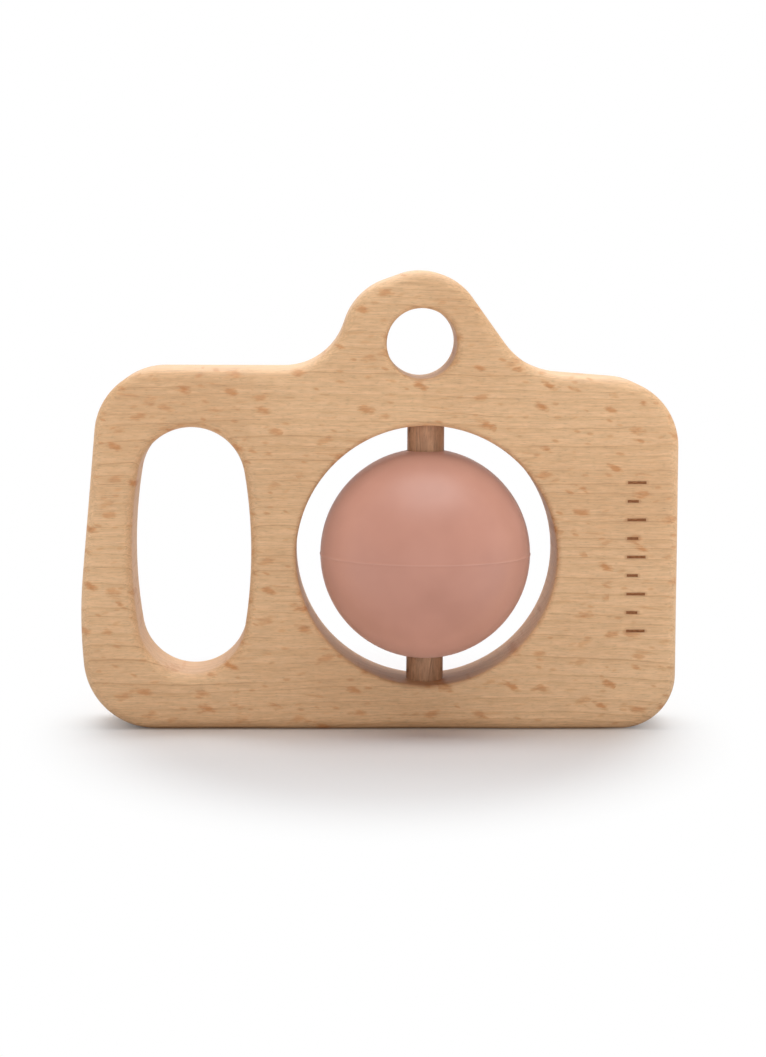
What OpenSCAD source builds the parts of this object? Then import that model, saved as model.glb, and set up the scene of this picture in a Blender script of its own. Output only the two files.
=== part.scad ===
// Wooden toy camera, front view in the XZ plane, +Z up, standing on its lower edge.
// One beech board has a grip hole, a strap hole and a round lens opening.
// A silicone ball turns in the opening on a dowel that is glued into the board.

/* [Board] */
// Overall width of the board
board_w = 128; // [120:1:140]
// Thickness of the board
board_t = 20; // [16:0.5:26]
// Height of the top edge on the grip side
grip_shoulder_h = 77.6; // [74:0.2:84]
// Height of the top edge on the far side
far_shoulder_h = 75.5; // [72:0.1:82]
// How far the far shoulder falls from the crown to its corner
far_shoulder_fall = 0.8; // [0:0.1:3]
// How far the grip side leans in towards its shoulder
grip_lean = 3.1; // [0:0.1:5]
// Radius of the slightly bowed grip side
grip_bow_r = 103; // [80:1:200]
// Height at which the grip side bows out furthest
grip_bow_z = 24; // [18:0.5:34]
// Radius of the upper corners of the board
corner_r = 14.5; // [10:0.5:20]
// Radius of the lower corner on the grip side
grip_foot_r = 15.4; // [10:0.1:18]
// Radius of the lower corner on the far side
far_foot_r = 11.8; // [6:0.1:18]
// Radius of the rounded-over outer edges
edge_r = 2.5; // [1:0.1:4]

/* [Finder crown] */
// Radius of the crown on the far side
brow_r = 13.2; // [12:0.1:16]
// How far that arc's centre lies above the strap hole's centre
brow_lift = 2.1; // [0:0.1:3]
// Radius of the crown on the grip side
crown_r = 13.9; // [12:0.1:16]
// How far that arc's centre lies above the strap hole's centre
crown_lift = 0.2; // [0:0.1:2]
// How far that arc's centre lies from the strap hole's, towards the grip
crown_lean = 3.2; // [1:0.1:5]
// Radius of the hollow between the crown and the grip shoulder
grip_hollow_r = 13.6; // [8:0.1:18]
// Straight flank between the crown and that hollow
grip_flank = 1; // [0.5:0.1:8]
// Radius of the hollow between the crown and the far shoulder
far_hollow_r = 16.8; // [10:0.1:20]
// Straight flank between the crown and that hollow
far_flank = 11.7; // [2:0.1:14]

/* [Strap hole] */
// Diameter of the strap hole
strap_d = 15; // [10:0.5:18]
// Wood left between the strap hole and the lens opening
strap_bridge = 10; // [8:0.1:14]
// How far the strap hole lies from the lens axis, towards the grip
strap_shift = 1.2; // [0:0.1:3]
// Radius of the eased rims of the strap hole
strap_rim_r = 1.6; // [0.4:0.1:2.5]

/* [Grip hole] */
// Width of the grip hole
grip_w = 25.5; // [24:0.1:30]
// Radius of the ends of the grip hole
grip_end_r = 11.5; // [9:0.1:11.8]
// Wood left outside the grip hole, which is the bar that is held
grip_bar = 11; // [9:0.1:13]
// Wood left under the grip hole
grip_sill = 12; // [10:0.1:15]
// Wood left over the grip hole
grip_head = 12.6; // [10:0.1:15]
// Radius of the rounded-over rims of the grip hole
grip_rim_r = 2.4; // [1:0.1:3]

/* [Lens opening] */
// Diameter of the lens opening
lens_d = 56; // [52:0.5:58]
// Wood left between the grip hole and the lens opening
lens_web = 9.6; // [8:0.1:12]
// Wood left under the lens opening
lens_sill = 9.5; // [8:0.1:12]
// Radius of the eased rims of the lens opening
lens_rim_r = 1.2; // [0.4:0.1:1.5]

/* [Ball] */
// Diameter of the ball
ball_d = 45.6; // [40:0.1:48]
// How far the ball has slid down the dowel from the middle of the opening
ball_drop = 0.4; // [0:0.1:2]
// Radial clearance of the ball on the dowel
ball_clearance = 0.1; // [0.05:0.01:0.1]
// Height of the fine ridge that the mould leaves round the ball
parting_ridge_h = 0.12; // [0.05:0.01:0.3]
// Radius of that ridge's rounded back
parting_ridge_r = 0.3; // [0.2:0.05:0.5]

/* [Dowel] */
// Diameter of the dowel
dowel_d = 8; // [6:0.5:10]
// Depth of the blind socket above the lens opening
socket_depth = 6; // [4:0.1:7]
// Thickness of the glue round the dowel
glue_t = 0.1; // [0.05:0.01:0.2]
// Chamfer on the dowel's upper end
dowel_chamfer = 0.6; // [0.3:0.1:1]

/* [Burnt scale] */
// Number of marks, short and long in turn
tick_count = 9; // [5:2:11]
// Distance from mark to mark
tick_pitch = 4; // [2.5:0.1:4.4]
// Length of a long mark
tick_long = 4; // [3:0.1:6]
// Length of a short mark
tick_short = 2.4; // [1:0.1:2.8]
// Width of the burnt line
tick_line = 0.6; // [0.3:0.05:0.8]
// Depth of the burnt line
tick_depth = 0.25; // [0.1:0.05:0.5]
// Distance of the scale's middle from the far edge
tick_inset = 9; // [7:0.1:12]

/* [Hidden] */

// Smoothness of round pieces, and the turn from point to point along the outlines
$fn = 96;
arc_step = 6;
// Steps in a quarter turn of a rounded-over edge
edge_steps = 4;
quarter = 90;
full_turn = 360;
// How far a cutting shape runs past the face that it cuts
overrun = 1;
// Two points of an outline that lie closer than this are one
same_point = 0.01;
// Air left above the dowel in its blind socket
socket_air = 0.5;

half_w = board_w / 2;
half_t = board_t / 2;
lens_r = lens_d / 2;
strap_r = strap_d / 2;
ball_r = ball_d / 2;
dowel_r = dowel_d / 2;
drill_r = dowel_r + glue_t;

grip_x = -half_w + grip_bar + grip_w / 2;
grip_h = grip_shoulder_h - grip_head - grip_sill;
grip_z = grip_sill + grip_h / 2;
lens_x = grip_x + grip_w / 2 + lens_web + lens_r;
lens_z = lens_sill + lens_r;
strap_x = lens_x - strap_shift;
strap_z = lens_z + lens_r + strap_bridge + strap_r;
brow_z = strap_z + brow_lift;
crown_x = strap_x - crown_lean;
crown_z = strap_z + crown_lift;
ball_z = lens_z - ball_drop;
tick_x = half_w - tick_inset;
// The drill goes up from the lower edge, through the opening and into the bridge
drill_end = lens_z + lens_r + socket_depth;
dowel_end = drill_end - socket_air;

// The outline of the board is a belt round discs, each [x, z, radius].
// The belt turns left round a disc of positive radius and right round a negative one.
far_hollow_z = far_shoulder_h + far_shoulder_fall + far_hollow_r;
grip_hollow_z = grip_shoulder_h + grip_hollow_r;
far_hollow_x = strap_x + hollow_reach(far_hollow_z - brow_z, far_hollow_r + brow_r, far_flank);
grip_hollow_x = crown_x - hollow_reach(grip_hollow_z - crown_z, grip_hollow_r + crown_r, grip_flank);
// The grip side is a flat arc, and the lower corner runs into it without a straight
grip_bow_x = -half_w + grip_bow_r;
grip_foot_x = grip_bow_x - sqrt(pow(grip_bow_r - grip_foot_r, 2) - pow(grip_bow_z - grip_foot_r, 2));
board_discs = [
    [grip_foot_x, grip_foot_r, grip_foot_r],
    [half_w - far_foot_r, far_foot_r, far_foot_r],
    [half_w - corner_r, far_shoulder_h - corner_r, corner_r],
    [far_hollow_x, far_hollow_z, -far_hollow_r],
    [strap_x, brow_z, brow_r],
    [crown_x, crown_z, crown_r],
    [grip_hollow_x, grip_hollow_z, -grip_hollow_r],
    [-half_w + grip_lean + corner_r, grip_shoulder_h - corner_r, corner_r],
    [grip_bow_x, grip_bow_z, grip_bow_r]
];
// The middle of the board under the crown, from which the whole outline can be seen
board_hub = [crown_x, crown_z / 2];

// The grip hole is an oval of four arcs, two at its ends and two flat ones at its sides
grip_rise = grip_h / 2 - grip_end_r;
grip_side_r = (pow(grip_w / 2, 2) + pow(grip_rise, 2) - pow(grip_end_r, 2)) / (grip_w - 2 * grip_end_r);
grip_side_x = grip_side_r - grip_w / 2;
grip_discs = [
    [grip_x, grip_z - grip_rise, grip_end_r],
    [grip_x - grip_side_x, grip_z, grip_side_r],
    [grip_x, grip_z + grip_rise, grip_end_r],
    [grip_x + grip_side_x, grip_z, grip_side_r]
];

// Layers of the board and of the tool that cuts the grip hole, each [inset, y], front to back
front_rounding = [for (step = [0 : edge_steps]) rounding_layer(edge_r, step)];
board_layers = concat(front_rounding, mirrored_layers(front_rounding));
grip_rounding = [for (step = [0 : edge_steps]) rounding_layer(grip_rim_r, step)];
grip_flare = [for (layer = grip_rounding) [-layer[0], layer[1]]];
front_cut = concat([[-grip_rim_r, -half_t - overrun]], grip_flare);
grip_layers = concat(front_cut, mirrored_layers(front_cut));

// How far a hollow's centre lies beside the crown's, so that a flank joins the two arcs
function hollow_reach(rise, radii, flank) = sqrt(pow(radii, 2) + pow(flank, 2) - pow(rise, 2));

// One step of a quarter-round edge at the front face
function rounding_layer(radius, step) =
    let (turn = quarter * step / edge_steps)
    [radius * (1 - sin(turn)), radius * (1 - cos(turn)) - half_t];

// The same layers on the other side of the board's middle, in the other order
function mirrored_layers(layers) =
    [for (k = [len(layers) - 1 : -1 : 0]) [layers[k][0], -layers[k][1]]];

// Heading of the straight run of belt from one disc to the next
function heading(a, b) =
    let (run = [b[0] - a[0], b[1] - a[1]])
    atan2(run[1], run[0]) - asin(max(-1, min(1, (b[2] - a[2]) / norm(run))));

// A turn brought into the range from nought to a full turn
function positive(turn) = turn - full_turn * floor(turn / full_turn);

// The belt's points, moved inwards by inset. Every inset gives the same number of points.
function belt(discs, inset) = [
    for (k = [0 : len(discs) - 1])
    let (
        disc = discs[k],
        before = discs[(k + len(discs) - 1) % len(discs)],
        after = discs[(k + 1) % len(discs)],
        coming = heading(before, disc),
        going = heading(disc, after),
        turn = disc[2] > 0 ? positive(going - coming) : -positive(coming - going),
        steps = ceil(abs(turn) / arc_step),
        // Where two arcs join without a straight run, they share a point
        first = norm(touch(before, coming) - touch(disc, coming)) < same_point ? 1 : 0
    )
    for (step = [first : steps])
    let (angle = coming + turn * step / steps)
    touch([disc[0], disc[1], disc[2] - inset], angle)
];

// The point of a disc where the belt has a given heading
function touch(disc, angle) = [disc[0] + disc[2] * sin(angle), disc[1] - disc[2] * cos(angle)];

// A solid with the belt as its outline, through layers of [inset, y].
// Its two flat ends are fans round a hub from which the whole outline can be seen.
module belt_solid(discs, layers, hub) {
    rings = [for (layer = layers) belt(discs, layer[0])];
    count = len(rings[0]);
    last = len(layers) - 1;
    points = [for (k = [0 : last]) for (p = rings[k]) [p[0], layers[k][1], p[1]]];
    hubs = [for (k = [0, last]) [hub[0], layers[k][1], hub[1]]];
    front = [for (i = [0 : count - 1]) [len(points), (i + 1) % count, i]];
    back = [for (i = [0 : count - 1]) [len(points) + 1, last * count + i, last * count + (i + 1) % count]];
    sides = [for (k = [0 : last - 1]) for (i = [0 : count - 1]) let (next = (i + 1) % count)
        [k * count + i, k * count + next, (k + 1) * count + next, (k + 1) * count + i]];
    polyhedron(concat(points, hubs), concat(front, sides, back));
}

// Turns a piece so that its Z axis points to the front of the board, at a place in the XZ plane
module through_board(x, z) {
    translate([x, 0, z]) rotate([quarter, 0, 0]) children();
}

// The tool for a round hole, with a rim that flares in a quarter circle at both faces
module round_hole(radius, rim_r) {
    cylinder(h = board_t + 2 * overrun, r = radius, center = true);
    for (side = [0, 1]) mirror([0, 0, side])
        rotate_extrude() difference() {
            translate([0, half_t - rim_r]) square([radius + rim_r, rim_r + overrun]);
            translate([radius + rim_r, half_t - rim_r]) circle(rim_r);
        }
}

// The lens opening as a plain round tool, for trimming the glue to the wall of the opening
module lens_wall() {
    through_board(lens_x, lens_z) cylinder(h = board_t + 2 * overrun, r = lens_r, center = true);
}

// The burnt lines of the scale, as cutting bars in the front face
module scale_marks() {
    for (k = [0 : tick_count - 1]) {
        length = k % 2 == 0 ? tick_long : tick_short;
        height = lens_z + tick_pitch * (k - (tick_count - 1) / 2);
        translate([tick_x - tick_long / 2, -half_t - overrun, height - tick_line / 2])
            cube([length, tick_depth + overrun, tick_line]);
    }
}

// The beech board with its three holes, the drilled seat of the dowel and the burnt scale
module board() {
    color("burlywood") difference() {
        belt_solid(board_discs, board_layers, board_hub);
        belt_solid(grip_discs, grip_layers, [grip_x, grip_z]);
        through_board(lens_x, lens_z) round_hole(lens_r, lens_rim_r);
        through_board(strap_x, strap_z) round_hole(strap_r, strap_rim_r);
        translate([lens_x, 0, -overrun]) cylinder(h = drill_end + overrun, r = drill_r);
        scale_marks();
    }
}

// The dowel, flush with the lower edge of the board
module axle_dowel() {
    color("tan") translate([lens_x, 0, 0]) {
        cylinder(h = dowel_end - dowel_chamfer, r = dowel_r);
        translate([0, 0, dowel_end - dowel_chamfer])
            cylinder(h = dowel_chamfer, r1 = dowel_r, r2 = dowel_r - dowel_chamfer);
    }
}

// The silicone ball with its bore and the fine ridge of the mould
module lens_ball() {
    color("rosybrown") translate([lens_x, 0, ball_z]) difference() {
        union() {
            sphere(d = ball_d);
            rotate_extrude() translate([ball_r + parting_ridge_h - parting_ridge_r, 0])
                circle(parting_ridge_r);
        }
        cylinder(h = ball_d + 2 * overrun, r = dowel_r + ball_clearance, center = true);
    }
}

// Glue between the dowel and its blind socket above the opening
module upper_glue() {
    color("wheat") difference() {
        translate([lens_x, 0, lens_z]) cylinder(h = dowel_end - dowel_chamfer - lens_z, r = drill_r);
        translate([lens_x, 0, lens_z - overrun]) cylinder(h = drill_end, r = dowel_r);
        lens_wall();
    }
}

// Glue between the dowel and its hole under the opening
module lower_glue() {
    color("wheat") difference() {
        translate([lens_x, 0, 0]) cylinder(h = lens_z, r = drill_r);
        translate([lens_x, 0, -overrun]) cylinder(h = lens_z + 2 * overrun, r = dowel_r);
        lens_wall();
    }
}

board();
axle_dowel();
lens_ball();
upper_glue();
lower_glue();
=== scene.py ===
# %% [markdown]
# # A wooden toy camera
# The toy is one beech board with a grip hole, a strap hole in its crown and a round lens opening.
# An upright dowel crosses the opening and carries a soft silicone ball that a child can turn.
# The imported CAD model gives every piece its place, so the lesson starts by loading it as a fixed frame.
# The dressed model has to stay inside it.

# %% Load the imported model
import math

import bmesh
import bpy
from mathutils import Matrix, Vector, noise


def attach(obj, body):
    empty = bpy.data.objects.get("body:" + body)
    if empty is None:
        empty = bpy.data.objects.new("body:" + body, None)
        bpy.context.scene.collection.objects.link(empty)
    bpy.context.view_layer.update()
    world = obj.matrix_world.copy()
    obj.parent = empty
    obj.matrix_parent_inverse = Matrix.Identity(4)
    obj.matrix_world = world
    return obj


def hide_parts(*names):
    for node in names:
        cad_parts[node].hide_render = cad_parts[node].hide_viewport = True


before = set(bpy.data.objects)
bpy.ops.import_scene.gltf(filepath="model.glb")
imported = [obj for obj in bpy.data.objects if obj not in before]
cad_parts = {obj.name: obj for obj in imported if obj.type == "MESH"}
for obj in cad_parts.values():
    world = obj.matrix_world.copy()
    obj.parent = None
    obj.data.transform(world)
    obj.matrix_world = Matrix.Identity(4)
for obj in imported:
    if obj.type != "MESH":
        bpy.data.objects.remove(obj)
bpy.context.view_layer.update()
MM = 0.001

# %% [markdown]
# ## The camera
# The photograph was taken from a little above the toy's top edge, with a long lens about 0.6 m away.
# The round features of the toy fix that view: two circles, the ball and the dowel leave little freedom.
# Blender measures a lens against the longer side of the picture, which is the height here.

# %% Camera at the photograph's view
IMAGE_W, IMAGE_H = 766, 1057
FOCAL_PX, SENSOR_MM = 2715, 36
CAMERA_PLACE = Vector((-11.55, -586.4, 105.94)) * MM
LOOK_DOWN, LOOK_RIGHT, ROLL = (math.radians(angle) for angle in (6.174, 1.218, 0.212))
NEAREST, FARTHEST = 0.01, 50


def into_scene(name, data):
    """A new object in the scene."""
    made = bpy.data.objects.new(name, data)
    bpy.context.scene.collection.objects.link(made)
    return made


lens_data = bpy.data.cameras.new("photo_camera")
lens_data.sensor_width = SENSOR_MM
lens_data.lens = FOCAL_PX / max(IMAGE_W, IMAGE_H) * SENSOR_MM
lens_data.clip_start, lens_data.clip_end = NEAREST, FARTHEST
photo_camera = into_scene("photo_camera", lens_data)
photo_camera.matrix_world = (
    Matrix.Translation(CAMERA_PLACE)
    @ Matrix.Rotation(-LOOK_RIGHT, 4, "Z")
    @ Matrix.Rotation(math.pi / 2 - LOOK_DOWN, 4, "X")
    @ Matrix.Rotation(ROLL, 4, "Z")
)
bpy.context.scene.camera = photo_camera
print("camera lens in mm:", round(lens_data.lens, 1))

# %% [markdown]
# ## Short words for node trees
# A material is a tree of nodes, and so is a Geometry Nodes shape. Written out in full, each node takes
# several lines, so a few helpers add a node, fill its sockets and hand back what it gives.
# Colours are written as the eye sees them on a screen, from 0 to 255, and turned into light here.


# %% Helpers for nodes and colours
def paint(red, green, blue):
    """A screen colour as the linear light that shaders count in."""
    def linear(level):
        level /= 255
        return level / 12.92 if level <= 0.04045 else ((level + 0.055) / 1.055) ** 2.4
    return (linear(red), linear(green), linear(blue), 1.0)


def add(tree, kind, sockets=None, **settings):
    """Adds a node, sets its options, and fills its sockets with values or links."""
    made = tree.nodes.new(kind)
    for option, value in settings.items():
        setattr(made, option, value)
    for socket, value in (sockets or {}).items():
        if isinstance(value, bpy.types.NodeSocket):
            tree.links.new(value, made.inputs[socket])
        else:
            made.inputs[socket].default_value = value
    return made


def calc(tree, operation, *terms):
    """The result of a Math node on numbers and sockets."""
    return add(tree, "ShaderNodeMath", dict(enumerate(terms)), operation=operation).outputs[0]


def fade(tree, value, start, end, low=0.0, high=1.0):
    """Runs smoothly from low to high while value goes from start to end."""
    sockets = {"Value": value, "From Min": start, "From Max": end, "To Min": low, "To Max": high}
    return add(tree, "ShaderNodeMapRange", sockets, interpolation_type="SMOOTHSTEP").outputs[0]


def tint(tree, factor, under, over, mode="MIX"):
    """Lays one colour over another."""
    sockets = {0: factor, 6: under, 7: over}
    return add(tree, "ShaderNodeMix", sockets, data_type="RGBA", blend_type=mode).outputs[2]


print("helpers ready, a beech tone in linear light:", [round(v, 3) for v in paint(222, 184, 140)])


# %% Helpers for places
def arrow(tree, operation, first, second):
    """The result of a Vector Math node on two arrows."""
    return add(tree, "ShaderNodeVectorMath", {0: first, 1: second}, operation=operation).outputs[0]


def length_of(tree, first):
    """How long an arrow is."""
    return add(tree, "ShaderNodeVectorMath", {0: first}, operation="LENGTH").outputs["Value"]


def split(tree, place):
    """The x, y and z of a place."""
    return add(tree, "ShaderNodeSeparateXYZ", {"Vector": place}).outputs


def joined(tree, x=0.0, y=0.0, z=0.0):
    """The place with the given x, y and z."""
    return add(tree, "ShaderNodeCombineXYZ", {"X": x, "Y": y, "Z": z}).outputs[0]


print("helpers for places ready")

# %% Helpers for patterns and finishes
MOST_NOISE = (0.3, 0.7)  # nearly all of Blender's noise lies in this range


def stretched(tree, place, scale, shift=(0, 0, 0)):
    """The same place in a space that is stretched for a pattern."""
    sockets = {"Vector": place, "Scale": scale, "Location": shift}
    return add(tree, "ShaderNodeMapping", sockets).outputs[0]


def grain(tree, place, scale, detail=2.0, shift=(0, 0, 0)):
    """Soft noise in a stretched space."""
    sockets = {"Vector": stretched(tree, place, scale, shift), "Scale": 1.0, "Detail": detail}
    return add(tree, "ShaderNodeTexNoise", sockets).outputs[0]


def in_millimetres(tree, turn=(0, 0, 0), shift=(0, 0, 0)):
    """The place on the piece in millimetres, turned so that the grain runs along X."""
    spot = tree.nodes.new("ShaderNodeTexCoord").outputs["Object"]
    sockets = {"Vector": spot, "Scale": (1 / MM, 1 / MM, 1 / MM), "Rotation": turn, "Location": shift}
    return add(tree, "ShaderNodeMapping", sockets).outputs[0]


def new_finish(name):
    """A material with an empty tree, its shader and its output."""
    finish = bpy.data.materials.new(name)
    finish.use_nodes = True
    tree = finish.node_tree
    tree.nodes.clear()
    shader = tree.nodes.new("ShaderNodeBsdfPrincipled")
    add(tree, "ShaderNodeOutputMaterial", {"Surface": shader.outputs[0]})
    return finish, tree, shader


def raise_surface(tree, shader, height, strength, distance):
    """Lets the light see a fine relief."""
    sockets = {"Height": height, "Strength": strength, "Distance": distance * MM}
    bump = add(tree, "ShaderNodeBump", sockets)
    tree.links.new(bump.outputs[0], shader.inputs["Normal"])


print("pattern helpers ready, one unit is a millimetre")

# %% [markdown]
# ## Beech
# Beech is pale tan. Growth rings cross the face as thin darker lines, two to four millimetres apart.
# Fine fibres and short dark pores run along the board. Rays, which stand on edge in the tree, end at the
# face as orange-brown flecks: broad spindles, small dots and thin streaks.
# A picture of wood wrapped round the board would bend at every edge. These are solid patterns instead,
# worked out in space from Object coordinates, so that faces, rounded edges and the walls of the holes
# cut through the same wood, as they do on the bench.

# %% Ray flecks
SMALLEST, SIZE_SPREAD = 0.55, 0.8
FAINTEST, TONE_SPREAD = 0.4, 0.6
RAGGED_SCALE, RAGGED_SWING = (0.7, 0.7, 1.9), 1.5
FLECK_EDGE, FLECK_CORE = 1.15, 0.3
PICK_BLUR = 0.02


def ray_flecks(tree, place, cell, size, share, slant, shift):
    """Soft ragged spindles of the given half sizes, in a share of the cells of a loose grid."""
    spread = stretched(tree, place, tuple(1 / side for side in cell), shift)
    rays = add(tree, "ShaderNodeTexVoronoi", {"Vector": spread, "Scale": 1.0})
    chance = add(tree, "ShaderNodeSeparateColor", {"Color": rays.outputs["Color"]}).outputs
    away = arrow(tree, "SUBTRACT", spread, rays.outputs["Position"])
    x, y, z = split(tree, arrow(tree, "MULTIPLY", away, cell))
    lean = calc(tree, "MULTIPLY", calc(tree, "SUBTRACT", chance[2], 0.5), slant)
    leaning = joined(tree, x, y, calc(tree, "MULTIPLY_ADD", x, lean, z))
    reach = length_of(tree, arrow(tree, "DIVIDE", leaning, size))
    reach = calc(tree, "DIVIDE", reach, calc(tree, "MULTIPLY_ADD", chance[1], SIZE_SPREAD, SMALLEST))
    ragged = calc(tree, "SUBTRACT", grain(tree, place, RAGGED_SCALE, 2.0, shift), 0.5)
    reach = calc(tree, "MULTIPLY_ADD", ragged, RAGGED_SWING, reach)
    picked = fade(tree, chance[0], 1 - PICK_BLUR - share, 1 + PICK_BLUR - share)
    strength = calc(tree, "MULTIPLY_ADD", chance[2], TONE_SPREAD, FAINTEST)
    fleck = calc(tree, "MULTIPLY", fade(tree, reach, FLECK_EDGE, FLECK_CORE), picked)
    return calc(tree, "MULTIPLY", fleck, strength)


FLECKS = {
    # Each has the size of a cell, half its own size, the share of cells used, its slant and its shift
    "spindles": ((6.6, 15, 4.3), (1.95, 9, 0.9), 0.6, 0.9, (0.3, 0.2, 0.7)),
    "dots": ((3.6, 15, 2.2), (0.85, 9, 0.34), 0.55, 0.7, (2.3, 4.4, 1.6)),
    "streaks": ((8.5, 15, 2.4), (2.6, 9, 0.28), 0.55, 0.3, (5.1, 2.7, 3.9)),
}
print("kinds of fleck:", list(FLECKS))

# %% Growth rings
RING_SPACING, RING_LEAN = 2.7, 0.55
RING_WANDER = (((0.012, 0.03, 0.02), 8.0), ((0.06, 0.1, 0.1), 1.2), ((0.25, 0.4, 0.4), 0.4))
UNEVEN_SCALE, UNEVEN_SWING = 0.16, 2.2
SHADE_START, LINE_PHASE, SHADE_END = 0.2, 0.9, 0.96
LINE_EDGE, LINE_CORE = 0.075, 0.01
FAINT_SCALE, FAINT_FROM, FAINT_TO = (0.03, 0.3, 0.28), 0.36, 0.62


def growth_rings(tree, place):
    """Thin lines on sheets that lean and wander through the wood, and the soft shade before each."""
    _, inwards, upwards = split(tree, place)
    level = calc(tree, "MULTIPLY_ADD", inwards, RING_LEAN, upwards)
    for scale, swing in RING_WANDER:
        level = calc(tree, "MULTIPLY_ADD", grain(tree, place, scale, 1.0, (3, 8, 5)), swing, level)
    sockets = {"W": level, "Scale": UNEVEN_SCALE, "Detail": 1.0}
    uneven = add(tree, "ShaderNodeTexNoise", sockets, noise_dimensions="1D").outputs[0]
    level = calc(tree, "MULTIPLY_ADD", uneven, UNEVEN_SWING * RING_SPACING, level)
    phase = calc(tree, "FRACT", calc(tree, "DIVIDE", level, RING_SPACING))
    off_line = calc(tree, "ABSOLUTE", calc(tree, "SUBTRACT", phase, LINE_PHASE))
    line = fade(tree, off_line, LINE_EDGE, LINE_CORE)
    rise, fall = fade(tree, phase, SHADE_START, LINE_PHASE), fade(tree, phase, SHADE_END, LINE_PHASE)
    faint = fade(tree, grain(tree, place, FAINT_SCALE, 1.0, (7, 3, 1)), FAINT_FROM, FAINT_TO)
    return calc(tree, "MULTIPLY", line, faint), calc(tree, "MULTIPLY", rise, fall)


print("rings ready, spacing in mm:", RING_SPACING)

# %% Beech finish
FIBRES = {
    # Each has its scale along x, y and z, its detail and its shift
    "hair": ((0.22, 3.0, 3.0), 4.0, (0, 0, 0)),
    "band": ((0.07, 0.9, 0.9), 3.0, (0, 11, 5)),
    "mottle": ((0.45, 1.3, 1.3), 3.0, (8, 2, 6)),
    "drift": ((0.02, 0.05, 0.035), 2.0, (4, 1, 9)),
    "pore": ((0.8, 4.2, 4.2), 2.0, (1, 5, 7)),
}
PORE_FROM, PORE_TO = 0.5, 0.8
TONE_SHARES, TONE_FROM, TONE_TO = {"drift": 0.5, "mottle": 0.35, "band": 0.4}, 0.42, 0.83
SHADE_TONE, LINE_TONE = 0.12, 0.34
STREAK_TONE, DOT_TONE, SPINDLE_TONE = 0.32, 0.5, 0.72
FIBRE_DARK, FIBRE_LIGHT, PORE_DARK = 0.09, 0.08, 0.2
OILED_SHEEN, OILED_GLOSS, OILED_DULL = 0.55, 0.5, 0.62
WOOD_RELIEF, SPINDLE_DIP, LINE_DIP = 0.07, -0.5, -0.35


def beech_finish(
    name, light, dark, ring_tone, fleck_tone, turn=(0, 0, 0), shift=(0, 0, 0), depth=1.0, scorch=None
):
    """Beech whose grain runs along X after the turn. Depth strengthens or softens the figure."""
    finish, tree, shader = new_finish(name)
    place = in_millimetres(tree, turn, shift)
    line, shade = growth_rings(tree, place)
    flecks = {kind: ray_flecks(tree, place, *pattern) for kind, pattern in FLECKS.items()}

    # Fibres: hair-fine lines, broader bands along the board, a slow drift of tone, and short pores
    fibres = {kind: grain(tree, place, *pattern) for kind, pattern in FIBRES.items()}
    pores = fade(tree, fibres["pore"], PORE_FROM, PORE_TO)

    # Colour, from the broad tone to the small marks
    tone = 0.0
    for kind, share in TONE_SHARES.items():
        tone = calc(tree, "MULTIPLY_ADD", fibres[kind], share, tone)
    colour = tint(tree, fade(tree, tone, TONE_FROM, TONE_TO), light, dark)
    for mark, strength, mark_tone in (
        (shade, SHADE_TONE, ring_tone),
        (line, LINE_TONE, ring_tone),
        (flecks["streaks"], STREAK_TONE, fleck_tone),
        (flecks["dots"], DOT_TONE, fleck_tone),
        (flecks["spindles"], SPINDLE_TONE, fleck_tone),
    ):
        colour = tint(tree, calc(tree, "MULTIPLY", mark, strength * depth), colour, mark_tone)
    gain = fade(tree, fibres["hair"], *MOST_NOISE, 1 - FIBRE_DARK * depth, 1 + FIBRE_LIGHT * depth)
    gain = calc(tree, "MULTIPLY_ADD", pores, -PORE_DARK * depth, gain)
    gains = add(tree, "ShaderNodeCombineColor", {"Red": gain, "Green": gain, "Blue": gain}).outputs[0]
    colour = tint(tree, 1.0, colour, gains, "MULTIPLY")
    if scorch:
        colour = scorch(tree, place, colour)
    tree.links.new(colour, shader.inputs["Base Color"])

    # A thin oil finish: soft gloss, slightly duller along the fibres, with barely raised grain
    rough = fade(tree, fibres["hair"], 0.25, 0.75, OILED_GLOSS, OILED_DULL)
    tree.links.new(rough, shader.inputs["Roughness"])
    shader.inputs["Specular IOR Level"].default_value = OILED_SHEEN
    relief = calc(tree, "MULTIPLY_ADD", line, LINE_DIP, fibres["hair"])
    relief = calc(tree, "MULTIPLY_ADD", flecks["spindles"], SPINDLE_DIP, relief)
    raise_surface(tree, shader, relief, strength=0.3, distance=WOOD_RELIEF)
    return finish


print("beech is ready to be mixed")

# %% [markdown]
# The marks on the front are burnt in with a hot die, and heat browns the wood a little beside each line.
# The halo belongs to the board's own finish, so its rule is worked out here, from the marks' places.

# %% Board and dowel finishes
MARK_PITCH, MARK_LEFT, MARK_LONG, MARK_SHORT, MARK_ROWS = 4.0, 53.0, 4.0, 2.4, 9
LENS_X, LENS_Z = 10.1, 37.5
FACE_Y = -9.6
HALO_EDGE, HALO_CORE, HALO_TONE = 0.8, 0.25, 0.4
BROWNED = paint(176, 122, 78)


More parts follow.
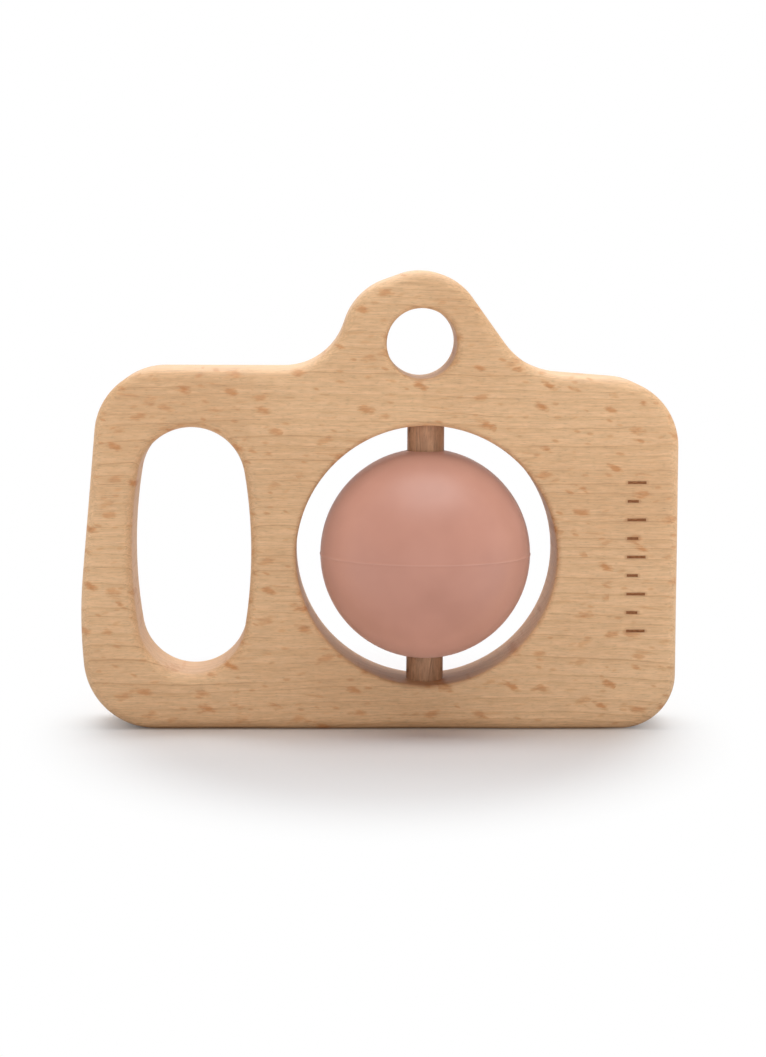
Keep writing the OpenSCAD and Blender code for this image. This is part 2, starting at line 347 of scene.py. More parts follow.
def scorched(tree, place, colour):
    """Browns the front face close to the burnt marks."""
    x, y, z = split(tree, place)
    rise = calc(tree, "DIVIDE", calc(tree, "SUBTRACT", z, LENS_Z), MARK_PITCH)
    row = calc(tree, "ROUND", rise)
    off_row = calc(tree, "MULTIPLY", calc(tree, "SUBTRACT", rise, row), MARK_PITCH)
    odd = calc(tree, "ABSOLUTE", calc(tree, "MODULO", row, 2.0))
    end = calc(tree, "MULTIPLY_ADD", odd, MARK_SHORT - MARK_LONG, MARK_LEFT + MARK_LONG)
    past_ends = calc(tree, "SUBTRACT", x, end), calc(tree, "SUBTRACT", MARK_LEFT, x)
    off_end = calc(tree, "MAXIMUM", calc(tree, "MAXIMUM", *past_ends), 0.0)
    off = length_of(tree, joined(tree, off_end, 0.0, off_row))
    halo = fade(tree, off, HALO_EDGE, HALO_CORE)
    in_scale = calc(tree, "LESS_THAN", calc(tree, "ABSOLUTE", row), MARK_ROWS / 2)
    for limit in (calc(tree, "LESS_THAN", y, FACE_Y), in_scale, HALO_TONE):
        halo = calc(tree, "MULTIPLY", halo, limit)
    return tint(tree, halo, colour, BROWNED)


board_finish = beech_finish(
    "sanded_beech", light=paint(225, 185, 142), dark=paint(209, 166, 123),
    ring_tone=paint(170, 118, 72), fleck_tone=paint(188, 118, 58), scorch=scorched,
)
dowel_finish = beech_finish(
    "dowel_beech", light=paint(203, 158, 123), dark=paint(174, 130, 98),
    ring_tone=paint(112, 76, 52), fleck_tone=paint(120, 82, 54),
    turn=(0, math.pi / 2, 0), shift=(40, 3, 9), depth=1.6,
)
print("wood finishes:", board_finish.name, dowel_finish.name)

# %% [markdown]
# ## Silicone, glue and burnt wood
# The ball is dusty pink silicone: matte, with a soft sheen at its edge, a hardly visible skin from the
# mould, and a few specks of dust, which silicone always attracts. The seam of the mould is painted a
# little lighter than the rest, partly its own tone and partly a painted highlight on its ridge. The glue
# shows only as a hair line round the dowel. The burnt lines are brown, mottled by the grain that they
# cross.
# A plain colour would look like paint, so each has its own two tones and a fine relief.

# %% Silicone finish
BALL_Z = 37.1
PINK, DEEP_PINK = paint(213, 158, 138), paint(207, 152, 132)
# The seam's lighter pink is partly its own tone and partly a painted highlight on the mould's ridge.
SEAM_HIGHLIGHT_PINK, DUST_PINK = paint(222, 176, 158), paint(232, 196, 182)
SEAM_EDGE, SEAM_CORE, SEAM_FAINT, SEAM_CLEAR = 0.2, 0.06, 0.12, 0.5
DUST_SCALE, DUST_SMALL, DUST_SPREAD, DUST_RARE, DUST_TONE = 0.24, 0.02, 0.06, 0.75, 0.45
SKIN_GLOSS, SKIN_DULL, SKIN_RELIEF = 0.40, 0.47, 0.04


def silicone_finish():
    """Matte silicone with specks of dust and a lighter seam at mid height, partly a painted highlight."""
    finish, tree, shader = new_finish("dusty_pink_silicone")
    place = in_millimetres(tree)
    cloud = grain(tree, place, (0.09, 0.09, 0.09), 2.0)
    skin = grain(tree, place, (2.2, 2.2, 2.2), 2.0)
    colour = tint(tree, fade(tree, cloud, *MOST_NOISE), PINK, DEEP_PINK)

    # Painted highlight: the seam is tinted lighter, unevenly along its length, partly its own tone and
    # partly the light on its ridge.
    off_seam = calc(tree, "ABSOLUTE", calc(tree, "SUBTRACT", split(tree, place)[2], BALL_Z))
    wear_and_highlight = grain(tree, place, (0.07, 0.07, 0.02), 2.0)
    seam_highlight = fade(tree, wear_and_highlight, 0.35, 0.65, SEAM_FAINT, SEAM_CLEAR)
    seam = calc(tree, "MULTIPLY", fade(tree, off_seam, SEAM_EDGE, SEAM_CORE), seam_highlight)
    colour = tint(tree, seam, colour, SEAM_HIGHLIGHT_PINK)

    dust = add(tree, "ShaderNodeTexVoronoi", {"Vector": place, "Scale": DUST_SCALE})
    chance = add(tree, "ShaderNodeSeparateColor", {"Color": dust.outputs["Color"]}).outputs
    size = calc(tree, "MULTIPLY_ADD", chance[1], DUST_SPREAD, DUST_SMALL)
    speck = fade(tree, calc(tree, "DIVIDE", dust.outputs["Distance"], size), 1.0, 0.5)
    speck = calc(tree, "MULTIPLY", speck, calc(tree, "GREATER_THAN", chance[0], DUST_RARE))
    colour = tint(tree, calc(tree, "MULTIPLY", speck, DUST_TONE), colour, DUST_PINK)
    tree.links.new(colour, shader.inputs["Base Color"])

    tree.links.new(fade(tree, skin, *MOST_NOISE, SKIN_GLOSS, SKIN_DULL), shader.inputs["Roughness"])
    shader.inputs["Specular IOR Level"].default_value = 0.6
    shader.inputs["Diffuse Roughness"].default_value = 1.0
    shader.inputs["Sheen Weight"].default_value = 0.1
    shader.inputs["Sheen Roughness"].default_value = 0.5
    raise_surface(tree, shader, skin, strength=0.12, distance=SKIN_RELIEF)
    return finish


silicone = silicone_finish()
print("ball finish:", silicone.name)


# %% Glue and burnt wood finishes
def mottled_finish(name, first, second, scale, roughness):
    """A simple two-tone finish with soft mottling, in millimetres."""
    finish, tree, shader = new_finish(name)
    mottle = grain(tree, in_millimetres(tree), scale, 3.0)
    colour = tint(tree, fade(tree, mottle, *MOST_NOISE), first, second)
    tree.links.new(colour, shader.inputs["Base Color"])
    raise_surface(tree, shader, mottle, strength=0.3, distance=0.05)
    shader.inputs["Roughness"].default_value = roughness
    return finish


glue_finish = mottled_finish(
    "cured_glue", paint(214, 188, 146), paint(196, 166, 122), scale=(1.5, 1.5, 1.5), roughness=0.35
)
burnt_finish = mottled_finish(
    "burnt_line", paint(172, 114, 72), paint(136, 86, 53), scale=(1.2, 4.0, 4.0), roughness=0.75
)
print("small finishes:", glue_finish.name, burnt_finish.name)

# %% [markdown]
# ## The outline of the board
# A router follows a template, so the outline is straight runs and arcs that meet without a kink.
# That is a belt round discs: it turns left round a corner and right round a hollow beside the crown.
# The grip side is not straight but a very flat arc, and the crown is two arcs of slightly different
# size. A drawn curve could be bent to the same line, but discs keep every radius a number to change.
# Every point of the belt keeps its disc and its heading, so the whole outline can be moved inwards by
# any amount, which is what a rounded-over edge needs.

# %% Sizes of the board, in millimetres
HALF_W, HALF_T = 64.0, 10.0
EDGE_R, GRIP_RIM_R, LENS_RIM_R, STRAP_RIM_R = 2.5, 2.4, 1.2, 1.6
LENS_R = 28.0
STRAP_X, STRAP_Z, STRAP_R = 8.9, 83.0, 7.5
BROW_Z, BROW_R = 85.1, 13.2
CROWN_X, CROWN_Z, CROWN_R = 5.7, 83.2, 13.9
CORNER_R, GRIP_FOOT_R, FAR_FOOT_R = 14.5, 15.4, 11.8
GRIP_LEAN, GRIP_BOW_R, GRIP_BOW_Z = 3.1, 103.0, 24.0
GRIP_SHOULDER, FAR_SHOULDER, FAR_FALL = 77.6, 75.5, 0.8
GRIP_HOLLOW_R, GRIP_FLANK, FAR_HOLLOW_R, FAR_FLANK = 13.6, 1.0, 16.8, 11.7
GRIP_X, GRIP_Z, GRIP_W, GRIP_H, GRIP_END_R = -40.25, 38.5, 25.5, 53.0, 11.5


def hollow_reach(rise, radii, flank):
    """How far a hollow's centre lies beside the crown's, so that a flank joins the two arcs."""
    return math.sqrt(radii**2 + flank**2 - rise**2)


far_hollow_z = FAR_SHOULDER + FAR_FALL + FAR_HOLLOW_R
far_hollow_x = STRAP_X + hollow_reach(far_hollow_z - BROW_Z, FAR_HOLLOW_R + BROW_R, FAR_FLANK)
grip_hollow_z = GRIP_SHOULDER + GRIP_HOLLOW_R
grip_hollow_x = CROWN_X - hollow_reach(grip_hollow_z - CROWN_Z, GRIP_HOLLOW_R + CROWN_R, GRIP_FLANK)
grip_bow_x = -HALF_W + GRIP_BOW_R
foot_reach = math.sqrt((GRIP_BOW_R - GRIP_FOOT_R) ** 2 - (GRIP_BOW_Z - GRIP_FOOT_R) ** 2)
board_discs = [
    (grip_bow_x - foot_reach, GRIP_FOOT_R, GRIP_FOOT_R),
    (HALF_W - FAR_FOOT_R, FAR_FOOT_R, FAR_FOOT_R),
    (HALF_W - CORNER_R, FAR_SHOULDER - CORNER_R, CORNER_R),
    (far_hollow_x, far_hollow_z, -FAR_HOLLOW_R),
    (STRAP_X, BROW_Z, BROW_R),
    (CROWN_X, CROWN_Z, CROWN_R),
    (grip_hollow_x, grip_hollow_z, -GRIP_HOLLOW_R),
    (-HALF_W + GRIP_LEAN + CORNER_R, GRIP_SHOULDER - CORNER_R, CORNER_R),
    (grip_bow_x, GRIP_BOW_Z, GRIP_BOW_R),
]
grip_rise = GRIP_H / 2 - GRIP_END_R
grip_side_r = ((GRIP_W / 2) ** 2 + grip_rise**2 - GRIP_END_R**2) / (GRIP_W - 2 * GRIP_END_R)
grip_side_x = grip_side_r - GRIP_W / 2
grip_discs = [
    (GRIP_X, GRIP_Z - grip_rise, GRIP_END_R),
    (GRIP_X - grip_side_x, GRIP_Z, grip_side_r),
    (GRIP_X, GRIP_Z + grip_rise, GRIP_END_R),
    (GRIP_X + grip_side_x, GRIP_Z, grip_side_r),
]
print("discs of the outline:", len(board_discs), "side radius of the grip oval:", round(grip_side_r, 1))

# %% The belt round the discs
ARC_STEP, RUN_STEP, SAME_POINT = math.radians(4), 2.5, 0.05


def heading(here, there):
    """Heading of the straight run of belt from one disc to the next."""
    run_x, run_z = there[0] - here[0], there[1] - here[1]
    lift = (there[2] - here[2]) / math.hypot(run_x, run_z)
    return math.atan2(run_z, run_x) - math.asin(max(-1.0, min(1.0, lift)))


def touch(station, inset=0.0):
    """The belt's point at a station, moved inwards by inset."""
    x, z, radius, angle = station
    return x + (radius - inset) * math.sin(angle), z - (radius - inset) * math.cos(angle)


def apart(here, there):
    """Whether two stations are different points of the belt."""
    return math.dist(touch(here), touch(there)) > SAME_POINT


def belt(discs):
    """Stations along the belt, each a disc's centre, its radius and the belt's heading there."""
    stations = []
    for k, disc in enumerate(discs):
        after = discs[(k + 1) % len(discs)]
        coming, going = heading(discs[k - 1], disc), heading(disc, after)
        turn = (going - coming) % math.tau if disc[2] > 0 else -((coming - going) % math.tau)
        steps = math.ceil(max(abs(turn) / ARC_STEP, abs(turn * disc[2]) / RUN_STEP))
        stations += [(*disc, coming + turn * step / steps) for step in range(1, steps + 1)]
        gap = math.dist(touch((*disc, going)), touch((*after, going)))
        runs = max(1, round(gap / RUN_STEP))
        for step in range(1, runs + 1):
            between_discs = (here + (there - here) * step / runs for here, there in zip(disc, after))
            stations.append((*between_discs, going))
    ahead = stations[1:] + stations[:1]
    return [here for here, there in zip(stations, ahead) if apart(here, there)]


board_belt, grip_belt = belt(board_discs), belt(grip_discs)
print("stations of board and grip hole:", len(board_belt), len(grip_belt))

# %% [markdown]
# ## The board
# The edges are rounded over by a router bit and softened by sanding, so their radius wanders a little.
# A Bevel modifier would round them evenly. Here each rim, the outer one and those of the three holes,
# becomes a wall of rings from the front face to the back, and every ring follows the wear. The two faces
# then fill the space between the rims. One extra ring just inside each rim keeps the shading of the
# faces flat right up to the rounding.

# %% Walls of the board
ROUND_STEPS, WALL_STEPS, GUARD = 8, 4, 0.4
WEAR_SWING, WEAR_SCALE, WEAR_SLICE = 0.16, 0.045, 3.0
LENS_SIDES, STRAP_SIDES = 128, 64


def sanded(x, z):
    """By how much sanding wears down the rounding's radius at a place along the edge."""
    return 1 + WEAR_SWING * noise.noise(Vector((x, z, WEAR_SLICE)) * WEAR_SCALE)


def round_belt(x, z, radius, count):
    """Stations round a single disc."""
    return [(x, z, radius, math.tau * k / count) for k in range(count)]


def rim_profile(rim_r):
    """Steps of a rim from front to back: inset, y, and the part of y that sanding moves."""
    turns = [math.pi / 2 * step / ROUND_STEPS for step in range(ROUND_STEPS + 1)]
    front = [(rim_r + GUARD, -HALF_T, 0.0)]
    front += [(rim_r * (1 - math.sin(turn)), -HALF_T, rim_r * (1 - math.cos(turn))) for turn in turns]
    reach = HALF_T - rim_r
    middle = [(0.0, reach * (2 * step / WALL_STEPS - 1), 0.0) for step in range(1, WALL_STEPS)]
    return front + middle + [(inset, -y, -moved) for inset, y, moved in reversed(front)]


def wall(mesh, stations, rim_r, outwards):
    """Rings of a rim from the front face to the back. Holes flare out, the board's edge draws in."""
    rings = []
    for inset, y, moved in rim_profile(rim_r):
        ring = []
        for station in stations:
            wear_and_highlight = sanded(*touch(station))
            x, z = touch(station, outwards * inset * wear_and_highlight)
            ring.append(mesh.verts.new(Vector((x, y + moved * wear_and_highlight, z)) * MM))
        rings.append(ring)
    for near, far in zip(rings, rings[1:]):
        for k in range(len(near)):
            j = (k + 1) % len(near)
            mesh.faces.new((near[k], near[j], far[j], far[k]))
    return rings[0], rings[-1]


shape = bmesh.new()
rims = [
    wall(shape, board_belt, EDGE_R, 1),
    wall(shape, grip_belt, GRIP_RIM_R, -1),
    wall(shape, round_belt(LENS_X, LENS_Z, LENS_R, LENS_SIDES), LENS_RIM_R, -1),
    wall(shape, round_belt(STRAP_X, STRAP_Z, STRAP_R, STRAP_SIDES), STRAP_RIM_R, -1),
]
print("rims:", len(rims), "wall faces:", len(shape.faces))


# %% Faces of the board
def ring_edges(mesh, ring):
    """The edges of a closed ring of points."""
    return [mesh.edges.get((ring[k - 1], ring[k])) for k in range(len(ring))]


def plain_object(name, source, finish):
    """Turns a finished bmesh into an object with one finish, and tells how many edges are open."""
    open_edges = sum(not edge.is_manifold for edge in source.edges)
    mesh = bpy.data.meshes.new(name)
    source.to_mesh(mesh)
    source.free()
    mesh.materials.append(finish)
    print(name, "faces:", len(mesh.polygons), "open edges:", open_edges)
    return into_scene(name, mesh)


for side in (0, 1):
    border = [edge for rim in rims for edge in ring_edges(shape, rim[side])]
    bmesh.ops.triangle_fill(shape, edges=border, use_beauty=True, normal=(0, 2 * side - 1, 0))
bmesh.ops.recalc_face_normals(shape, faces=shape.faces)
beech_board = plain_object("beech_board", shape, board_finish)

# %% [markdown]
# ## Shapes from a rule
# The marks of the burnt scale repeat, and the ball is one curve turned about the dowel, so both are
# made with Geometry Nodes: a tree with named sizes gives the mesh, and the result is kept as a plain
# mesh.


# %% Helpers for Geometry Nodes
def geometry_tree(name, sizes):
    """An empty Geometry Nodes tree with one named input for each size."""
    tree = bpy.data.node_groups.new(name, "GeometryNodeTree")
    tree.interface.new_socket("Geometry", in_out="OUTPUT", socket_type="NodeSocketGeometry")
    kinds = {float: "NodeSocketFloat", int: "NodeSocketInt", bpy.types.Material: "NodeSocketMaterial"}
    for size, value in sizes.items():
        tree.interface.new_socket(size, in_out="INPUT", socket_type=kinds[type(value)])
    return tree, tree.nodes.new("NodeGroupInput").outputs, tree.nodes.new("NodeGroupOutput").inputs[0]


def finished(tree, geometry, material, output):
    """Ends a tree: real geometry, its finish and the way out."""
    real = add(tree, "GeometryNodeRealizeInstances", {"Geometry": geometry}).outputs[0]
    dressed = add(tree, "GeometryNodeSetMaterial", {"Geometry": real, "Material": material})
    tree.links.new(dressed.outputs[0], output)


def settled(source):
    """Turns an object's modifiers into its plain mesh."""
    depsgraph = bpy.context.evaluated_depsgraph_get()
    mesh = bpy.data.meshes.new_from_object(source.evaluated_get(depsgraph))
    mesh.name = source.name
    source.modifiers.clear()
    source.data = mesh
    return source


def built(tree, name, sizes):
    """The plain mesh object that a tree makes from its sizes."""
    source = into_scene(name, bpy.data.meshes.new(name))
    modifier = source.modifiers.new("rule", "NODES")
    modifier.node_group = tree
    for item in tree.interface.items_tree:
        if item.in_out == "INPUT":
            modifier[item.identifier] = sizes[item.name]
    return settled(source)


print("geometry helpers ready")

# %% [markdown]
# ## The burnt scale
# Nine plain marks, long and short in turn, stand in a row at the right of the front. They could be drawn
# in the finish, but a die leaves a groove, and a groove catches the light. So a row of small bars is made
# on a line of points, and cut out of the board in the next step.

# %% The burnt scale as a cutting tool
MARK_LINE, MARK_DEPTH = 0.6, 0.25
scale_sizes = {
    "Count": MARK_ROWS, "Pitch": MARK_PITCH * MM, "Long": MARK_LONG * MM, "Short": MARK_SHORT * MM,
    "Line": MARK_LINE * MM, "Depth": MARK_DEPTH * MM, "Left": MARK_LEFT * MM, "Middle": LENS_Z * MM,
    "Front": HALF_T * MM, "Finish": burnt_finish,
}
tree, sizes, way_out = geometry_tree("burnt_scale", scale_sizes)
last = calc(tree, "SUBTRACT", sizes["Count"], 1.0)
foot = calc(tree, "MULTIPLY_ADD", calc(tree, "MULTIPLY", last, sizes["Pitch"]), -0.5, sizes["Middle"])
start = joined(tree, sizes["Left"], calc(tree, "MULTIPLY", sizes["Front"], -1.0), foot)
places = add(tree, "GeometryNodeMeshLine", {
    "Count": sizes["Count"], "Start Location": start, "Offset": joined(tree, z=sizes["Pitch"]),
})
odd = calc(tree, "MODULO", tree.nodes.new("GeometryNodeInputIndex").outputs[0], 2.0)
long_or_short = {0: odd, 2: sizes["Long"], 3: sizes["Short"]}
length = add(tree, "ShaderNodeMix", long_or_short, data_type="FLOAT").outputs[0]
bar = add(tree, "GeometryNodeMeshCube", {"Size": (1, 1, 1)})
bar = add(tree, "GeometryNodeTransform", {"Geometry": bar.outputs[0], "Translation": (0.5, 0, 0)})
bars = add(tree, "GeometryNodeInstanceOnPoints", {
    "Points": places.outputs[0], "Instance": bar.outputs[0],
    "Scale": joined(tree, length, calc(tree, "MULTIPLY", sizes["Depth"], 2.0), sizes["Line"]),
})
finished(tree, bars.outputs[0], sizes["Finish"], way_out)
scale_tool = built(tree, "scale_tool", scale_sizes)
print("marks of the scale:", len(scale_tool.data.polygons) // 6)

# %% [markdown]
# ## Drilling and burning the board
# The dowel's hole is drilled from the lower edge, through the rail under the opening and a little way
# into the bridge above it. The scale is burnt a quarter of a millimetre deep. Both are cut from the
# mesh, and the cut faces of the scale take the burnt finish along.

# %% Cut the drill hole and the scale
DRILL_R, DRILL_END, DRILL_RUN_IN, DRILL_SIDES = 4.1, 71.5, 1, 64
BOARD_CREASE = math.radians(38)
drill_shape = bmesh.new()
span = DRILL_END + DRILL_RUN_IN
bmesh.ops.create_cone(
    drill_shape, cap_ends=True, segments=DRILL_SIDES,
    radius1=DRILL_R * MM, radius2=DRILL_R * MM, depth=span * MM,
    matrix=Matrix.Translation(Vector((LENS_X, 0, span / 2 - DRILL_RUN_IN)) * MM),
)
drill_tool = plain_object("drill_tool", drill_shape, board_finish)
for tool in (drill_tool, scale_tool):
    cut = beech_board.modifiers.new(tool.name, "BOOLEAN")
    cut.object, cut.operation, cut.solver, cut.material_mode = tool, "DIFFERENCE", "EXACT", "TRANSFER"
settled(beech_board)
for tool in (drill_tool, scale_tool):
    bpy.data.objects.remove(tool)
beech_board.data.shade_smooth()
beech_board.data.set_sharp_from_angle(angle=BOARD_CREASE)
board_finishes = [finish.name for finish in beech_board.data.materials]
print("board after cutting:", len(beech_board.data.polygons), "faces,", board_finishes)

# %% [markdown]
# ## The ball
# The mould closes at the ball's equator and leaves a fine ridge there. A ready-made sphere has neither
# the ridge nor the bore, so the tree bends a flat grid round the dowel's axis: across it runs the turn,
# up it the height on the ball. Rows crowd towards the equator, so the ridge gets enough of them. A tube
# closes the bore.

# %% Sizes and curve of the ball
BALL_R, BORE_R, RIDGE, RIDGE_W = 22.8, 4.1, 0.12, 0.3
BALL_SIDES, BALL_ROWS, CROWDING = 160, 121, 0.88
ball_sizes = {
    "Radius": BALL_R * MM, "Bore": BORE_R * MM, "Ridge": RIDGE * MM, "Ridge width": RIDGE_W * MM,
    "Around": BALL_SIDES, "Rows": BALL_ROWS, "Axis": LENS_X * MM, "Height": BALL_Z * MM,
    "Finish": silicone,
}
tree, sizes, way_out = geometry_tree("moulded_ball", ball_sizes)
sheet = add(tree, "GeometryNodeMeshGrid", {
    "Size X": math.tau, "Size Y": 2.0,
    "Vertices X": calc(tree, "ADD", sizes["Around"], 1.0), "Vertices Y": sizes["Rows"],
})
turn, row, _ = split(tree, tree.nodes.new("GeometryNodeInputPosition").outputs[0])
rim = calc(tree, "ARCCOSINE", calc(tree, "DIVIDE", sizes["Bore"], sizes["Radius"]))
crowded = calc(tree, "MULTIPLY", row, 1 - CROWDING)
crowded = calc(tree, "MULTIPLY_ADD", calc(tree, "POWER", row, 3.0), CROWDING, crowded)
latitude = calc(tree, "MULTIPLY", crowded, rim)
from_seam = calc(tree, "MULTIPLY", latitude, sizes["Radius"])
from_seam = calc(tree, "ABSOLUTE", calc(tree, "DIVIDE", from_seam, sizes["Ridge width"]))
swell = calc(tree, "EXPONENT", calc(tree, "MULTIPLY", calc(tree, "POWER", from_seam, 2.0), -1.0))
radius = calc(tree, "MULTIPLY_ADD", swell, sizes["Ridge"], sizes["Radius"])
level = calc(tree, "MULTIPLY", radius, calc(tree, "COSINE", latitude))
there = joined(
    tree,
    calc(tree, "MULTIPLY_ADD", level, calc(tree, "COSINE", turn), sizes["Axis"]),
    calc(tree, "MULTIPLY", level, calc(tree, "SINE", turn)),
    calc(tree, "MULTIPLY_ADD", radius, calc(tree, "SINE", latitude), sizes["Height"]),
)
skin = add(tree, "GeometryNodeSetPosition", {"Geometry": sheet.outputs[0], "Position": there})
print("inputs of the ball:", list(ball_sizes))

# %% Bore and finish of the ball
WELD = 0.01
BALL_CREASE = math.radians(50)
half_bore = calc(tree, "MULTIPLY", calc(tree, "SINE", rim), sizes["Radius"])
bore = add(tree, "GeometryNodeMeshCylinder", {
    "Vertices": sizes["Around"], "Radius": sizes["Bore"], "Depth": calc(tree, "MULTIPLY", half_bore, 2.0),
}, fill_type="NONE")
bore_place = joined(tree, sizes["Axis"], 0.0, sizes["Height"])
bore = add(tree, "GeometryNodeTransform", {"Geometry": bore.outputs[0], "Translation": bore_place})
bore = add(tree, "GeometryNodeFlipFaces", {"Mesh": bore.outputs[0]})
parts = add(tree, "GeometryNodeJoinGeometry")
tree.links.new(bore.outputs[0], parts.inputs[0])
tree.links.new(skin.outputs[0], parts.inputs[0])
whole = add(tree, "GeometryNodeMergeByDistance", {"Geometry": parts.outputs[0], "Distance": WELD * MM})
finished(tree, whole.outputs[0], sizes["Finish"], way_out)
silicone_ball = built(tree, "silicone_ball", ball_sizes)
silicone_ball.data.shade_smooth()
silicone_ball.data.set_sharp_from_angle(angle=BALL_CREASE)
print("ball faces:", len(silicone_ball.data.polygons))

# %% [markdown]
# ## The dowel
# A stock beech rod, turned and cut square, with its upper end chamfered so that it finds its socket.
# A plain cylinder lacks the chamfer and the broken lower edge, so a profile is turned round its axis.

# %% The dowel
DOWEL_R, DOWEL_END, DOWEL_CHAMFER, DOWEL_EDGE = 4.0, 71.0, 0.6, 0.1
DOWEL_SIDES, DOWEL_ROWS = 72, 24
DOWEL_CREASE = math.radians(35)
profile = [(0, 0), (DOWEL_R - DOWEL_EDGE, 0), (DOWEL_R, DOWEL_EDGE)]
profile += [(DOWEL_R, DOWEL_END * part / DOWEL_ROWS) for part in range(1, DOWEL_ROWS)]
profile += [(DOWEL_R, DOWEL_END - DOWEL_CHAMFER), (DOWEL_R - DOWEL_CHAMFER, DOWEL_END), (0, DOWEL_END)]
rod = bmesh.new()
line = [rod.verts.new(Vector((reach + LENS_X, 0, height)) * MM) for reach, height in profile]
edges = [rod.edges.new(pair) for pair in zip(line, line[1:])]
bmesh.ops.spin(
    rod, geom=line + edges, cent=Vector((LENS_X, 0, 0)) * MM, axis=(0, 0, 1), angle=math.tau,
    steps=DOWEL_SIDES, use_duplicate=False,
)
bmesh.ops.remove_doubles(rod, verts=rod.verts, dist=WELD * MM)
bmesh.ops.recalc_face_normals(rod, faces=rod.faces)
beech_dowel = plain_object("beech_dowel", rod, dowel_finish)
beech_dowel.data.shade_smooth()
beech_dowel.data.set_sharp_from_angle(angle=DOWEL_CREASE)

# %% [markdown]
# ## Joining the pieces to the frame
# Each piece rides on the body that it belongs to: the ball on the turning body, all else on the
# board's. The new board, dowel and ball stand for their CAD nodes. The two films of glue stay as they
# are and only get their finish.

# %% Ride and replace the pieces, and finish the glue
for piece, body, node, slot in (
    (beech_board, "body", "board", "board_beech"),
    (beech_dowel, "body", "axle_dowel", "dowel_beech"),
    (silicone_ball, "ball", "lens_ball", "silicone"),
):
    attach(piece, body)
    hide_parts(node)
for name in ("upper_glue", "lower_glue"):
    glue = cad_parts[name]
    glue.data.materials.clear()
    glue.data.materials.append(glue_finish)

# %% [markdown]
# ## Floor and background
# The photograph is a white studio shot, and the toy stands on white paper in its own soft shadow.
# The floor is a real surface, so it keeps that shadow. Further out, where the camera only sees paper, it
# is plainly white, and so is the world for rays from the camera. More light would whiten the paper too,
# but it would bleach the toy. Mirrored rays see white as well, apart from the dim room behind the camera.

# %% Floor
FLOOR_HALF = 3.0
SHADOW_NEAR, SHADOW_FAR = 0.66, 1.12
SHADOW_OVAL = (0.07, 0.11, 1.0)
WHITE = (1, 1, 1, 1)


def background_rays(tree, mirrored):
    """One for rays that show the background: seen, seen through, and a share of mirrored ones."""
    path = tree.nodes.new("ShaderNodeLightPath").outputs
    seen = calc(tree, "MAXIMUM", path["Is Camera Ray"], path["Is Transmission Ray"])
    return calc(tree, "MAXIMUM", seen, calc(tree, "MULTIPLY", path["Is Glossy Ray"], mirrored))


floor_mesh = bpy.data.meshes.new("floor")
corners = ((-1, -1), (1, -1), (1, 1), (-1, 1))
floor_mesh.from_pydata([(FLOOR_HALF * x, FLOOR_HALF * y, 0) for x, y in corners], [], [(0, 1, 2, 3)])
floor = into_scene("floor", floor_mesh)
floor_finish, tree, shader = new_finish("white_floor")
shader.inputs["Base Color"].default_value = paint(247, 247, 248)
shader.inputs["Roughness"].default_value = 0.8
shader.inputs["Specular IOR Level"].default_value = 0.1
spot = tree.nodes.new("ShaderNodeTexCoord").outputs["Object"]
away = length_of(tree, arrow(tree, "DIVIDE", spot, SHADOW_OVAL))
far = calc(tree, "MULTIPLY", fade(tree, away, SHADOW_NEAR, SHADOW_FAR), background_rays(tree, 1.0))
paper = add(tree, "ShaderNodeEmission", {"Color": WHITE, "Strength": 1.0}).outputs[0]
blend = add(tree, "ShaderNodeMixShader", {0: far, 1: shader.outputs[0], 2: paper}).outputs[0]
tree.links.new(blend, next(node for node in tree.nodes if node.type == "OUTPUT_MATERIAL").inputs[0])
floor_mesh.materials.append(floor_finish)
print("floor is", 2 * FLOOR_HALF, "m wide")

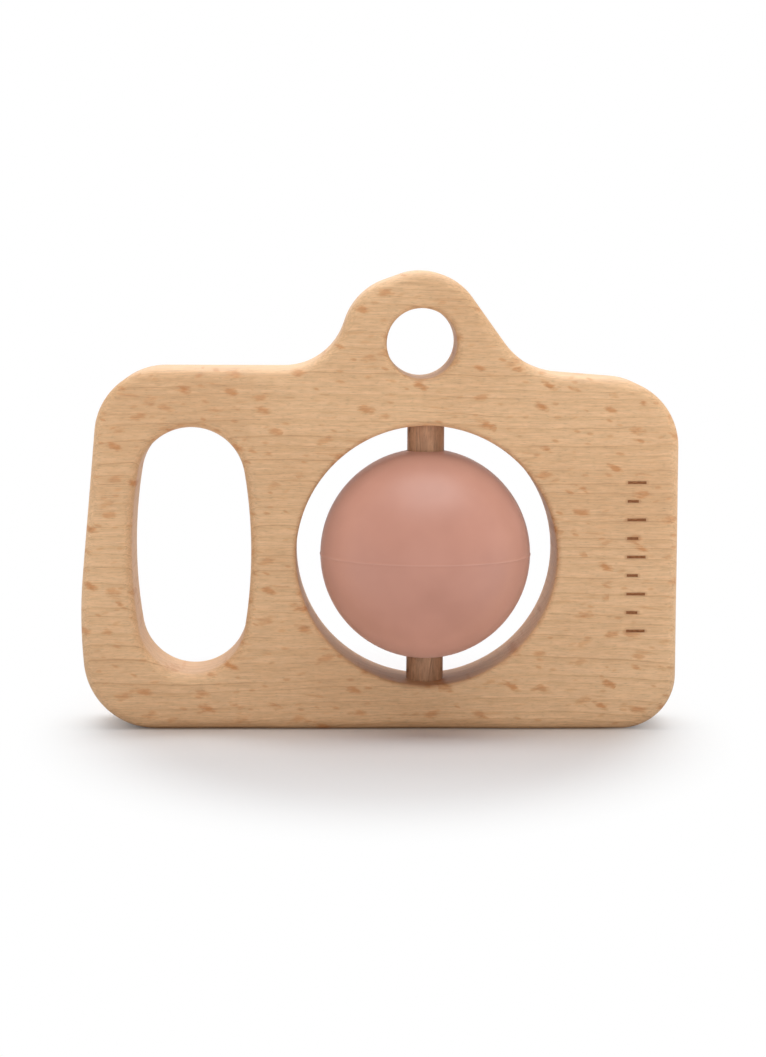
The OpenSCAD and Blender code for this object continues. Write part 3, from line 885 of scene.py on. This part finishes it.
# %% World
AMBIENT = 0.28
ROOM_DIM, ROOM_WHITE = -0.9, 0.2
world = bpy.data.worlds.new("white_studio")
bpy.context.scene.world = world
world.use_nodes = True
tree = world.node_tree
tree.nodes.clear()
way = split(tree, tree.nodes.new("ShaderNodeTexCoord").outputs["Generated"])
seen = background_rays(tree, fade(tree, way[1], ROOM_DIM, ROOM_WHITE))
lit = add(tree, "ShaderNodeBackground", {"Color": WHITE, "Strength": AMBIENT})
white = add(tree, "ShaderNodeBackground", {"Color": WHITE, "Strength": 1.0})
choice = add(tree, "ShaderNodeMixShader", {0: seen, 1: lit.outputs[0], 2: white.outputs[0]})
add(tree, "ShaderNodeOutputWorld", {"Surface": choice.outputs[0]})
print("world:", world.name)

# %% [markdown]
# ## Light
# Large soft lamps behind and above make the top edges bright and let the shadow fall forwards. A key lamp
# high in front gives the ball its soft highlight, and a low lamp fills the front. White paper beside the
# toy throws light up at its sides, and two cards lying there stand for that.
# The key and the fill are flagged off the floor, as is done in a studio with black boards, because they
# would wash the shadow out. The fill and the cards leave no reflection.

# %% Lamps
MIDDLE = (0.0, 0.0, 0.045)
CARD_W, CARD_L, CARD_Y, CARD_Z, OVERHEAD = 0.4, 0.5, -0.05, 0.002, 1.0


def softbox(name, place, width, height, power, target=MIDDLE):
    """A rectangular lamp that faces a target."""
    lamp = bpy.data.lights.new(name, "AREA")
    lamp.shape, lamp.size, lamp.size_y, lamp.energy = "RECTANGLE", width, height, power
    holder = into_scene(name, lamp)
    holder.location = place
    holder.rotation_euler = (Vector(target) - Vector(place)).to_track_quat("-Z", "Y").to_euler()
    return holder


def card(name, x, power):
    """A sheet of light that lies on the floor and faces upwards."""
    return softbox(name, (x, CARD_Y, CARD_Z), CARD_W, CARD_L, power, target=(x, CARD_Y, OVERHEAD))


softbox("back_softbox", (0.0, 0.55, 0.75), width=0.9, height=0.5, power=3.8)
softbox("top_softbox", (0.0, 0.08, 0.9), width=0.8, height=0.4, power=3.75)
key = softbox("key_softbox", (0.08, -0.3, 0.75), width=0.75, height=0.28, power=2.35)
fill = softbox("front_softbox", (0.0, -1.0, 0.16), width=0.9, height=0.3, power=2.35)
cards = [card("left_card", x=-0.33, power=0.85), card("right_card", x=0.33, power=1.25)]
flagged = bpy.data.collections.new("floor_flagged_off")
flagged.objects.link(floor)
flagged.collection_objects[0].light_linking.link_state = "EXCLUDE"
for lamp in (key, fill):
    lamp.light_linking.receiver_collection = flagged
for lamp in (fill, *cards):
    lamp.visible_camera = lamp.visible_glossy = False
bpy.context.scene.view_settings.view_transform = "Standard"
